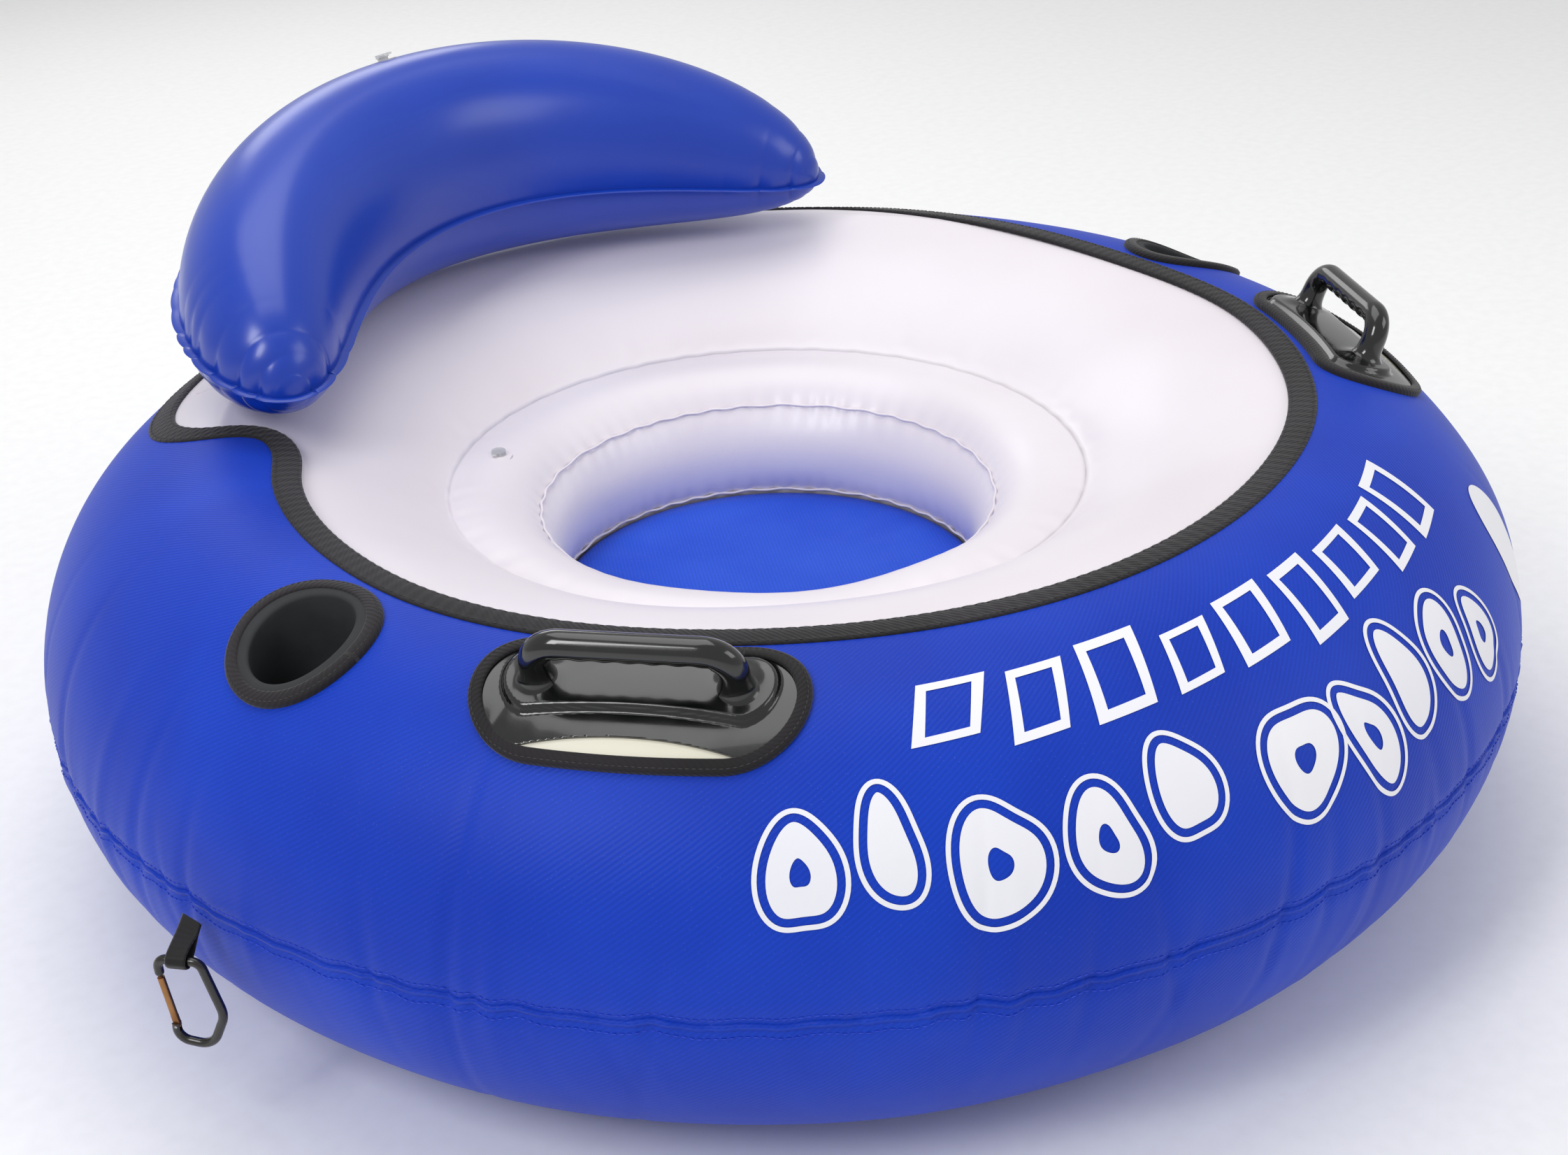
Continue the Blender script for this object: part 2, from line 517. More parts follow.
def make_bladder_film():
    """The white film from under the cover's edge down the seat, over the seat ring and through the well."""
    section = np.radians(np.linspace(38, 86.7, 34))
    outer = np.stack([RING + FILM * np.cos(section), HEIGHT + FILM * np.sin(section)], 1)
    slope = arc_rows((0.446, 0.3446), (0.352, 0.322), (0.2695, 0.2642), 40)
    ring = arc_rows((0.2680, 0.2642), (0.233, 0.2672), (0.1946, 0.2406), 26)
    wall = arc_rows((0.1940, 0.2388), (0.1765, 0.199), (0.1850, 0.1592), 22)
    under = arc_rows((0.1856, 0.1572), (0.262, 0.058), (0.4258, 0.0026), 44)
    profile = np.vstack([outer, slope, ring, wall, under])
    columns = 480
    angle = np.linspace(-math.pi, math.pi, columns, endpoint=False)[None, :]
    tangent = np.gradient(profile, axis=0)
    tangent /= np.linalg.norm(tangent, axis=1)[:, None]
    normal = np.stack([tangent[:, 1], -tangent[:, 0]], 1) * -1
    normal = np.where((normal[:, 1:] < 0) & (profile[:, 1:] > 0.27), -normal, normal)
    r, z = profile[:, :1], profile[:, 1:]
    crease = np.hypot(r - 0.269, z - 0.264)
    weld = np.minimum(np.hypot(r - 0.194, z - 0.240), np.hypot(r - 0.185, z - 0.158))
    flute = (np.sin(angle * 46 + 2.2 * np.sin(angle * 5)) * 0.6
             + 0.4 * np.sin(angle * 73 + 1.3 * np.sin(9 * angle)))
    relief = 0.0008 * flute * np.exp(-crease / 0.016) * fade(0, 0.004, crease)
    relief = relief + 0.0008 * np.sin(angle * 64 + 2 * np.sin(angle * 6)) * np.exp(-weld / 0.010)
    relief = relief - 0.0018 * np.exp(-(crease / 0.006) ** 2)
    broad = sum(np.sin(k * angle + p + q * r * 20)
                for k, p, q in ((3, 0.4, 1.1), (5, 2.0, -0.8), (8, 4.1, 0.5)))
    relief = relief + 0.0007 * broad * fade(0.46, 0.40, r) * fade(0.0, 0.03, np.minimum(crease, weld))
    rr = r + normal[:, :1] * relief
    zz = z + normal[:, 1:] * relief
    shift = SEAT_Y * (1 - fade(0.446, 0.50, r) * (z > 0.2))
    points = np.stack([np.sin(angle) * rr, shift - np.cos(angle) * rr, zz + 0 * angle], -1)
    skip = over_cups(quad_centres(points), 0.0425)
    along = np.arange(len(profile))[:, None] * 0.006
    uv = np.stack(np.broadcast_arrays(angle * 0.35, along), -1).reshape(-1, 2)
    body = to_object("bladder_film", points.reshape(-1, 3), grid_faces(len(profile), columns, skip=skip),
                     WHITE_FILM, uv=uv)
    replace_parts(body, "bladder_outer_film", "bladder_cup_saddle_left", "bladder_cup_saddle_right",
                "bladder_seat_slope", "bladder_seat_ring", "bladder_hole_wall",
                "bladder_under_film", "bladder_baffle")
    return body


def round_cord(name, path, radius, material, closed=True, sides=10, body="tube"):
    """A round section swept along points; radius may differ from point to point."""
    path = np.asarray(path, float)
    count = len(path)
    if closed:
        tangent = np.roll(path, -1, 0) - np.roll(path, 1, 0)
    else:
        tangent = np.gradient(path, axis=0)
    tangent /= np.linalg.norm(tangent, axis=1)[:, None]
    up = Vector((0.123, 0.211, 0.97))
    rings = []
    side = np.cross(tangent[0], np.array(up))
    side /= np.linalg.norm(side)
    radii = np.broadcast_to(np.asarray(radius, float), (count,))
    turns = np.linspace(0, 2 * math.pi, sides, endpoint=False)
    for k in range(count):
        side = side - tangent[k] * side.dot(tangent[k])
        side /= np.linalg.norm(side)
        over = np.cross(tangent[k], side)
        ring = path[k] + radii[k] * (np.cos(turns)[:, None] * side + np.sin(turns)[:, None] * over)
        rings.append(ring)
    points = np.stack(rings, 0)
    faces = grid_faces(count, sides, flip=True)
    if closed:
        last = (count - 1) * sides
        gap = int(np.argmin(np.linalg.norm(points[0] - points[-1][0], axis=1)))
        for c in range(sides):
            d = (c + 1) % sides
            faces.append((last + c, (c + gap) % sides, (d + gap) % sides, last + d)[::-1])
    else:
        faces.append(tuple(range(sides)))
        faces.append(tuple(range((count - 1) * sides, count * sides))[::-1])
    obj = to_object(name, points.reshape(-1, 3), faces, material, body=body)
    merge_close(obj, 1e-7, outward=True)
    return obj


def make_weld_lines():
    """The two welds of the seat well, thin rolled edges that wander a little."""
    for name, node, radius, height in (("well_upper_weld", "hole_upper_weld", 0.1932, 0.2408),
                                       ("well_lower_weld", "hole_lower_weld", 0.1842, 0.1582)):
        angle = np.linspace(0, 2 * math.pi, 420, endpoint=False)
        wander = 0.0006 * np.sin(angle * 38 + 2 * np.sin(angle * 5))
        path = np.stack([np.cos(angle) * (radius + wander), SEAT_Y + np.sin(angle) * (radius + wander),
                         height + wander * 0.7], 1)
        bead = round_cord(name, path, 0.0011, WHITE_FILM, sides=8)
        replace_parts(bead, node)


# ================= backrest =================
def backrest_matrix():
    c, s = math.cos(BACK_TILT), math.sin(BACK_TILT)
    return Matrix((
        (1, 0, 0, BACK_CENTRE.x), (0, c, -s, BACK_CENTRE.y), (0, s, c, BACK_CENTRE.z), (0, 0, 0, 1)))


def backrest_outline(share):
    """Outward direction, half width and height factors at a share of the way from middle to tip."""
    share = np.clip(share, -1, 1)
    plan = np.sqrt(np.maximum(0, 1 - np.abs(share) ** 3.6))
    rise = np.sqrt(np.maximum(0, 1 - np.abs(share) ** 2.2))
    turn = BACK_SPREAD * share + BACK_TURN
    away = np.stack([np.sin(turn), np.cos(turn), 0 * turn], -1)
    return away, plan, rise


def to_row_frame(points, matrix):
    flat = points.reshape(-1, 3)
    turned = flat @ np.array(matrix.to_3x3()).T + np.array(matrix.translation)
    return turned.reshape(points.shape)


def pucker(line, spacing, seed):
    """A pleated profile along a seam: rounded swells with narrow pinches between them."""
    rng = np.random.default_rng(seed)
    edges = [line.min() - 0.1]
    while edges[-1] < line.max() + 0.1:
        edges.append(edges[-1] + spacing * rng.uniform(0.65, 1.4))
    depth = rng.uniform(0.55, 1.0, len(edges))
    index = np.clip(np.searchsorted(edges, line) - 1, 0, len(edges) - 2)
    low, high = np.asarray(edges)[index], np.asarray(edges)[index + 1]
    part = (line - low) / (high - low)
    return -(1 - np.abs(np.sin(np.pi * part)) ** 0.7) * depth[index]


def make_backrest():
    """The crescent cushion: two film panels welded round their rim, blown up until the rim puckers."""
    along, around = 330, 112
    k = np.linspace(-1, 1, along)
    share = np.sin(k * math.pi / 2)
    away, plan, rise = backrest_outline(share)
    psi = np.linspace(0, 2 * math.pi, around, endpoint=False)
    c, s = np.cos(psi)[None, :], np.sin(psi)[None, :]
    width = (BACK_HALF_WIDTH * plan)[:, None]
    height = np.where(s >= 0, BACK_RISE, BACK_DROP) * rise[:, None]
    x = width * np.sign(c) * np.abs(c) ** 1.0
    z = height * np.sign(s) * np.abs(s) ** 0.94
    centre = away * BACK_ARC
    points = centre[:, None, :] + away[:, None, :] * x[..., None] + np.array([0, 0, 1.0]) * z[..., None]
    outer = centre + away * (BACK_HALF_WIDTH * plan)[:, None]
    inner = centre - away * (BACK_HALF_WIDTH * plan)[:, None]
    run_out = np.concatenate([[0], np.cumsum(np.linalg.norm(np.diff(outer, axis=0), axis=1))])
    run_in = np.concatenate([[0], np.cumsum(np.linalg.norm(np.diff(inner, axis=0), axis=1))])
    tip = fade(0.55, 0.98, np.abs(share))
    deep_out = (0.0012 + 0.0055 * tip) * np.minimum(1, plan * 4)
    deep_in = (0.0002 + 0.0048 * fade(0.72, 0.99, np.abs(share))) * np.minimum(1, plan * 4)
    pleat_out = pucker(run_out, 0.030, 5) * deep_out
    pleat_in = pucker(run_in, 0.026, 9) * deep_in
    section = np.sqrt(width ** 2 + height ** 2) * 1.05
    gap_out = np.minimum(psi, 2 * math.pi - psi)[None, :] * section
    gap_in = np.abs(psi - math.pi)[None, :] * section
    reach = (0.016 + 0.030 * tip)[:, None]
    inwards = pleat_out[:, None] * np.exp(-gap_out / reach) + pleat_in[:, None] * np.exp(-gap_in / reach)
    radial = points - centre[:, None, :]
    radial /= np.maximum(np.linalg.norm(radial, axis=-1), 1e-6)[..., None]
    points = points + radial * inwards[..., None]
    points = to_row_frame(points, backrest_matrix())
    uv = np.stack(np.broadcast_arrays(run_out[:, None], psi[None, :] * 0.1), -1).reshape(-1, 2)
    cushion = to_object("backrest_cushion", points.reshape(-1, 3), grid_faces(along, around), BLUE_FILM, uv=uv)
    merge_close(cushion, 2e-4, outward=True)
    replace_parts(cushion, "backrest_upper_panel", "backrest_lower_panel")
    # the flat weld rim
    rim_rows = []
    for side_line, pleat, sign in ((outer, pleat_out, 1), (inner[::-1], pleat_in[::-1], -1)):
        direction = away if sign == 1 else away[::-1]
        rim_rows.append((side_line + direction * (sign * pleat[:, None] * 0.8), direction * sign))
    line = np.vstack([r[0] for r in rim_rows])
    out = np.vstack([r[1] for r in rim_rows])
    loop = np.roll(line, -1, 0) - np.roll(line, 1, 0)
    side = np.stack([-loop[:, 1], loop[:, 0], 0 * loop[:, 0]], 1)
    norm = np.linalg.norm(side, axis=1)
    side = np.where(norm[:, None] > 1e-9, side / np.maximum(norm, 1e-9)[:, None], out)
    flip = np.sign(np.sum(side * out, axis=1))
    side = side * np.where(flip == 0, 1, flip)[:, None]
    rows = []
    for reach_out, up in ((-0.002, 0.0006), (0.0062, 0.0005), (0.0066, 0.0),
                          (0.0062, -0.0005), (-0.002, -0.0006)):
        rows.append(line + side * reach_out + np.array([0, 0, up]))
    rim = to_row_frame(np.stack(rows, 0), backrest_matrix())
    flange = to_object("backrest_weld_rim", rim.reshape(-1, 3), grid_faces(5, len(line)), BLUE_FILM)
    merge_close(flange, 1e-6, outward=True)
    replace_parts(flange, "backrest_weld_flange")
    return cushion


# ================= handles =================
def oval(length, width, count):
    """Skeleton points and unit normals round a stadium, evenly spaced."""
    half, r = (length - width) / 2, width / 2
    straight, bend = 2 * half, math.pi * r
    total = 2 * (straight + bend)
    skeleton, normal = [], []
    for d in np.linspace(0, total, count, endpoint=False):
        if d < straight:
            skeleton.append((half - d, 0)), normal.append((0, 1))
        elif d < straight + bend:
            a = math.pi / 2 + (d - straight) / r
            skeleton.append((-half, 0)), normal.append((math.cos(a), math.sin(a)))
        elif d < 2 * straight + bend:
            skeleton.append((-half + (d - straight - bend), 0)), normal.append((0, -1))
        else:
            a = -math.pi / 2 + (d - 2 * straight - bend) / r
            skeleton.append((half, 0)), normal.append((math.cos(a), math.sin(a)))
    return np.array(skeleton), np.array(normal)


def oval_band(name, bearing, radius, length, width, profile, material,
              shift=0.0, count=240, trim=None):
    """A band or plate round a stadium on the cover: profile is (distance from the skeleton, lift)."""
    skeleton, normal = oval(length, width, count)
    rows = []
    for distance, lift in profile:
        place = skeleton + normal * distance
        if trim is not None:
            place = trim(place)
        high = lift(place) if callable(lift) else lift
        rows.append(patch_point(bearing, radius, place[:, 0], place[:, 1] + shift, high))
    points = np.stack(rows, 0)
    across = np.concatenate([[0], np.cumsum(np.linalg.norm(np.diff(points, axis=0), axis=-1).mean(1))])
    step = np.linalg.norm(np.roll(points[-1], -1, 0) - points[-1], axis=1)
    along = np.concatenate([[0], np.cumsum(step)[:-1]])
    uv = np.stack(np.broadcast_arrays(along[None, :], across[:, None]), -1).reshape(-1, 2)
    band = to_object(name, points.reshape(-1, 3), grid_faces(len(rows), count), material, uv=uv)
    return band


def waist(place):
    """The plate's outer edge curves in between its ends."""
    place = place.copy()
    x = np.clip(place[:, 0], -0.15, 0.15)
    edge = -0.227 + np.sqrt(0.200 ** 2 - x ** 2)
    place[:, 1] = np.maximum(place[:, 1], np.where(np.abs(x) < 0.09, edge, -1))
    return place


def plate_height(place):
    """Height of the handle moulding: a thin plate that swells into a rounded platform under the grip."""
    x, y = place[:, 0], place[:, 1] - 0.010
    edge = np.where(y < 0, 0.0190 + 0.0075 * np.minimum((x / 0.065) ** 2, 1.2), 0.0275)
    platform = fade(1.05, 0.86, np.hypot(np.maximum(np.abs(x) - 0.066, 0) / 0.024, y / edge))
    feet = np.exp(-(((np.abs(x) - 0.064) ** 2 + (y - 0.001) ** 2) / 0.0135 ** 2) ** 1.6)
    return 0.0030 + 0.0050 * platform + 0.0030 * feet


def surface_axes(bearing_deg, radius):
    bearing = math.radians(bearing_deg)
    section = float(section_at(radius))
    out = Vector((math.sin(bearing), -math.cos(bearing), 0))
    along = Vector((math.cos(bearing), math.sin(bearing), 0))
    normal = out * math.cos(section) + Vector((0, 0, 1)) * math.sin(section)
    origin = out * RING + Vector((0, 0, HEIGHT)) + normal * TUBE
    return origin, along, normal.cross(along), normal


def make_handle(side):
    name = "left" if side < 0 else "right"
    bearing, radius = side * HANDLE[0], HANDLE[1]
    half = 0.0460
    patch = oval_band("handle_cream_patch_" + name, bearing, radius, 0.212, 0.092,
                      [(d, 0.0010) for d in np.linspace(0, half, 12)], CREAM_FILM)
    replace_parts(patch, "handle_patch_" + name)
    rows = [(d, plate_height) for d in np.linspace(0, 0.0405, 32)]
    rows += [(0.0412, 0.0029), (0.0417, 0.0024), (0.0419, 0.0012)]
    plate = oval_band("handle_moulding_" + name, bearing, radius, 0.206, 0.084, rows, BLACK_PVC,
                      trim=waist, count=300)
    tape_rows = [(0.0402, 0.0034), (0.0404, 0.0046), (0.0414, 0.0052), (0.0440, 0.0053), (0.0482, 0.0051),
                 (0.0496, 0.0042), (0.0501, 0.0024), (0.0502, -0.0002)]
    tape = oval_band("handle_tape_" + name, bearing, radius, 0.222, 0.100, tape_rows, TAPE,
                     count=320)
    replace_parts(tape, "handle_binding_" + name)
    origin, along, up_slope, normal = surface_axes(bearing, radius)
    corner, top, reach, inward = 0.019, 0.040, 0.064, 0.011
    path = [(-reach, z) for z in np.linspace(0.0045, top - corner, 14)]
    path += [(-reach + corner * (1 - math.cos(a)), top - corner + corner * math.sin(a))
             for a in np.linspace(0, math.pi / 2, 12)[1:]]
    path += [(x, top) for x in np.linspace(-reach + corner, reach - corner, 50)[1:-1]]
    path = path + [(-x, z) for x, z in path[::-1] if True][:0]
    path += [(reach - corner * (1 - math.cos(a)), top - corner + corner * math.sin(a))
             for a in np.linspace(math.pi / 2, 0, 12)]
    path += [(reach, z) for z in np.linspace(top - corner, 0.0045, 14)[1:]]
    path = np.array(path)
    tangent = np.gradient(path, axis=0)
    tangent /= np.linalg.norm(tangent, axis=1)[:, None]
    turns = np.linspace(0, 2 * math.pi, 36, endpoint=False)
    rings = []
    for (x, z), (tx, tz) in zip(path, tangent):
        flare = 0.0085 * math.exp(-((z - 0.004) / 0.0038)) if z < 0.03 else 0
        on_top = 1.0 if z > top - 0.002 else 0.0
        ridge = 0.0011 * on_top * (0.5 - 0.5 * math.cos((abs(x) % 0.0155) / 0.0155 * 2 * math.pi))
        base = origin + along * x + up_slope * inward + normal * z
        outward = along * (-tz) + normal * tx
        ring = []
        for a in turns:
            r = 0.0098 + flare
            r -= ridge * max(0, -math.cos(a)) ** 0.7
            ring.append(base + outward * (math.cos(a) * r) + up_slope * (math.sin(a) * r * 1.02))
        rings.append(ring)
    points = np.array([[tuple(p) for p in ring] for ring in rings])
    faces = grid_faces(len(rings), 36, flip=True)
    grip = to_object("handle_grip_" + name, points.reshape(-1, 3), faces, BLACK_PVC)
    merge_close(grip, 1e-7, outward=True)
    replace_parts(grip, "handle_" + name)
    return patch, plate, tape, grip


# ================= cup holders =================
def make_cup_holder(side):
    name = "left" if side < 0 else "right"
    bearing, radius = side * CUP[0], CUP[1]
    centre = list(cup_centres())[0 if side < 0 else 1]
    tilt = float(section_at(radius))
    columns = 120
    turn = np.linspace(0, 2 * math.pi, columns, endpoint=False)
    lip_x, lip_y = CUP_BORE * np.cos(turn), CUP_BORE / math.sin(tilt) * np.sin(turn)
    far_x, far_y = 0.0505 * np.cos(turn), 0.0505 * np.sin(turn)

    def ring_row(share, lift):
        x, y = lip_x + (far_x - lip_x) * share, lip_y + (far_y - lip_y) * share
        return patch_point(bearing, radius, x, y, lift)
    lip = ring_row(0.0, 0.0008)
    rows = [ring_row(1.0, -0.0002), ring_row(1.0, 0.0026), ring_row(0.94, 0.0034), ring_row(0.6, 0.0037),
            ring_row(0.25, 0.0036), ring_row(0.10, 0.0031), ring_row(0.02, 0.0020), lip]
    axis = np.array([centre[0], centre[1]])
    top = lip.copy()
    for share in np.linspace(0.03, 1, 22):
        row = top.copy()
        row[:, 2] = top[:, 2] + (CUP_FLOOR - top[:, 2]) * share
        taper = 1 - 0.05 * share ** 2 + 0.012 * np.sin(turn * 5 + share * 4) * share
        row[:, :2] = axis + (top[:, :2] - axis) * taper[:, None]
        rows.append(row)
    last = rows[-1]
    for share in (0.92, 0.7, 0.4, 0.1):
        row = last.copy()
        row[:, :2] = axis + (last[:, :2] - axis) * share
        row[:, 2] = CUP_FLOOR - 0.0005
        rows.append(row)
    points = np.stack(rows, 0)
    faces = grid_faces(len(rows), columns)
    faces.append(tuple(range((len(rows) - 1) * columns, len(rows) * columns)))
    ring = to_object("cup_collar_" + name, points.reshape(-1, 3), faces, NEOPRENE)
    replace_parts(ring, "cup_ring_" + name, "cup_pocket_" + name, "cup_recess_" + name)
    tape_rows = []
    for r, lift in ((0.0458, 0.0036), (0.0460, 0.0046), (0.0472, 0.0052), (0.0505, 0.0053), (0.0545, 0.0048),
                    (0.0562, 0.0036), (0.0566, 0.0018), (0.0567, -0.0003)):
        x, y = r * np.cos(turn), r * np.sin(turn)
        tape_rows.append(patch_point(bearing, radius, x, y, lift))
    tape = strip_along("cup_tape_" + name, tape_rows[::-1], TAPE, 0.32 / columns)
    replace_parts(tape, "cup_binding_" + name)
    return ring


# ================= prints on the cover =================
def print_polygon_ring(outline_out, outline_in):
    """Points of a closed band between two outlines with the same number of places."""
    steps = 3
    return [outline_out + (outline_in - outline_out) * s / steps for s in range(steps + 1)]


def place_print(name, shapes):
    """White shapes on the cover. Each is rows of places (x along the ring, y up) round a centre."""
    points, faces, uvs = [], [], []
    for bearing, radius, rows in shapes:
        start = len(points)
        columns = rows[0].shape[0]
        for row in rows:
            where, section = patch_place(bearing, radius, row[:, 0], row[:, 1])
            points.extend(cover_point(where, section, 0.0005))
            uvs.extend(row)
        faces.extend([tuple(i + start for i in f) for f in grid_faces(len(rows), columns)])
    obj = to_object(name, points, faces, PRINT, uv=np.array(uvs))
    merge_close(obj, 1e-7)
    return obj


def blob(size_x, size_y, seed, lean=0.0, count=72):
    """A rounded pebble outline, slightly uneven."""
    rng = np.random.default_rng(seed)
    a = np.linspace(0, 2 * math.pi, count, endpoint=False)
    r = 1 + 0.10 * np.sin(2 * a + rng.uniform(0, 6)) + 0.07 * np.sin(3 * a + rng.uniform(0, 6))
    x, y = size_x * r * np.cos(a), size_y * r * np.sin(a)
    return np.stack([x * math.cos(lean) - y * math.sin(lean), x * math.sin(lean) + y * math.cos(lean)], 1)


def polygon(corners, count=96):
    """Points evenly spaced along a closed polygon, its corners kept."""
    corners = np.asarray(corners, float)
    n = len(corners)
    per = count // n
    points = []
    for i in range(n):
        for s in np.linspace(0, 1, per, endpoint=False):
            points.append(corners[i] * (1 - s) + corners[(i + 1) % n] * s)
    return np.array(points)


def shrink(outline, by):
    """The outline moved inwards by a distance."""
    nxt, prv = np.roll(outline, -1, 0), np.roll(outline, 1, 0)
    t = nxt - prv
    t /= np.linalg.norm(t, axis=1)[:, None]
    return outline + np.stack([-t[:, 1], t[:, 0]], 1) * by


def filled(outline, steps=7):
    centre = outline.mean(0)
    return [centre + (outline - centre) * (1 - s / steps) for s in range(steps)] + [outline * 0 + centre]


def make_prints():
    """Generic decoration: a row of slanted frames above a row of outlined pebbles, and a plain oval."""
    upper, lower = [], []
    for n, bearing in enumerate(np.linspace(-32, 20, 9)):
        radius = RING + TUBE * math.cos(math.radians(63 if n % 2 else 64.5))
        tall, wide = 0.024 + 0.004 * (n % 3), 0.021 + 0.003 * ((n + 1) % 2)
        frame_out = polygon([(-wide - 0.006, -tall), (wide - 0.009, -tall + 0.004), (wide + 0.006, tall),
                             (-wide + 0.008, tall - 0.003)])
        centre = frame_out.mean(0)
        frame_in = centre + (frame_out - centre) * np.array([0.66, 0.74])
        upper.append((bearing, radius, print_polygon_ring(frame_out, frame_in)))
    sizes = ((0.020, 0.034), (0.017, 0.030), (0.026, 0.037), (0.024, 0.030), (0.019, 0.032), (0.029, 0.036),
             (0.019, 0.039), (0.022, 0.034), (0.024, 0.031), (0.020, 0.029))
    bearings = (-43, -37.5, -31, -24, -18, -8.5, -2, 3.5, 9.5, 15)
    for n, (bearing, (wide, tall)) in enumerate(zip(bearings, sizes)):
        radius = RING + TUBE * math.cos(math.radians(33 + 4 * math.sin(n * 1.9)))
        edge = blob(wide + 0.007, tall + 0.007, 20 + n, lean=0.2 * math.sin(n * 2.3))
        inside = shrink(edge, 0.0032)
        core = shrink(edge, 0.0085)
        lower.append((bearing, radius, print_polygon_ring(edge, inside)))
        middle = core.mean(0)
        if n % 3 == 1:
            lower.append((bearing, radius, filled(core)))
        else:
            eye = middle + (core - middle) * 0.30
            lower.append((bearing, radius, [core + (eye - core) * s / 5 for s in range(6)]))
    badge = blob(0.046, 0.050, 3)
    a = np.linspace(0, 2 * math.pi, 96, endpoint=False)
    badge = np.stack([0.036 * np.cos(a), 0.052 * np.sin(a)], 1)
    mark = [(30.0, RING + TUBE * math.cos(math.radians(29)), filled(badge, 9))]
    return [place_print("print_slanted_frames", upper), place_print("print_pebbles", lower),
            place_print("print_plain_oval", mark)]


# ================= link strap =================
def link_axes(side):
    bearing, facing = math.radians(side * LINK[0]), math.radians(side * LINK_FACING)
    root = Vector((math.sin(bearing) * LINK[1], -math.cos(bearing) * LINK[1], LINK[2]))
    out = Vector((math.sin(facing), -math.cos(facing), 0))
    along = Vector((math.cos(facing), math.sin(facing), 0))
    seam = Vector((math.cos(bearing), math.sin(bearing), 0))
    return root + out * LINK_REACH, along, out, seam


def make_link_strap(side):
    """Folded webbing: two plies out of the seam that meet round the clip's bar."""
    name = "left" if side < 0 else "right"
    origin, along, out, seam = link_axes(side)
    up = Vector((0, 0, 1))
    eye, wall = 0.0043, 0.0015
    root = np.array([-0.0262, 0.0145])
    aim = root / np.linalg.norm(root)
    across = np.array([-aim[1], aim[0]])
    reach = np.linalg.norm(root)
    centre = []
    for s in np.linspace(1, 0.22, 18):
        centre.append(root * s + across * (0.0009 + (eye + wall / 2 - 0.0009) * fade(0.75, 0.1, s)))
    start = math.atan2(centre[-1][1], centre[-1][0])
    finish = 2 * math.atan2(aim[1], aim[0]) - start
    turn = np.linspace(start, finish - 2 * math.pi if finish > start else finish, 26)
    radius = np.linalg.norm(centre[-1])
    for a in turn[1:-1]:
        share = abs(2 * (a - start) / (turn[-1] - start) - 1) ** 6
        blend_r = eye + wall / 2 + (radius - eye - wall / 2) * share
        centre.append(np.array([math.cos(a), math.sin(a)]) * blend_r)
    for s in np.linspace(0.22, 1, 18):
        centre.append(root * s - across * (0.0009 + (eye + wall / 2 - 0.0009) * fade(0.75, 0.1, s)))
    centre = np.array(centre)
    tangent = np.gradient(centre, axis=0)
    tangent /= np.linalg.norm(tangent, axis=1)[:, None]
    normal = np.stack([-tangent[:, 1], tangent[:, 0]], 1)
    count = len(centre)
    distance = np.linalg.norm(centre, axis=1) / reach
    half = 0.0073 + 0.0026 * fade(0.25, 0.95, distance)
    points, uv = [], []
    length = np.concatenate([[0], np.cumsum(np.linalg.norm(np.diff(centre, axis=0), axis=1))])
    section = [(x, 1) for x in np.linspace(-1, 1, 15)] + [(x, -1) for x in np.linspace(1, -1, 15)]
    for k in range(count):
        for x, face in section:
            thick = wall / 2 * (1 - 0.75 * abs(x) ** 10)
            flat = centre[k] + normal[k] * face * thick
            width = along.lerp(seam, float(fade(0.25, 0.95, distance[k]))).normalized()
            place = origin + out * flat[0] + up * flat[1] + width * (x * half[k])
            points.append(tuple(place))
            uv.append((length[k], x * half[k]))
    columns = len(section)
    faces = grid_faces(count, columns)
    faces.append(tuple(range(columns)))
    faces.append(tuple(range((count - 1) * columns, count * columns))[::-1])
    strap = to_object("link_webbing_" + name, points, faces, WEBBING, uv=np.array(uv), body=name + "_strap")
    merge_close(strap, 1e-7, outward=True)
    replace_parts(strap, "link_loop_" + name)
    return strap


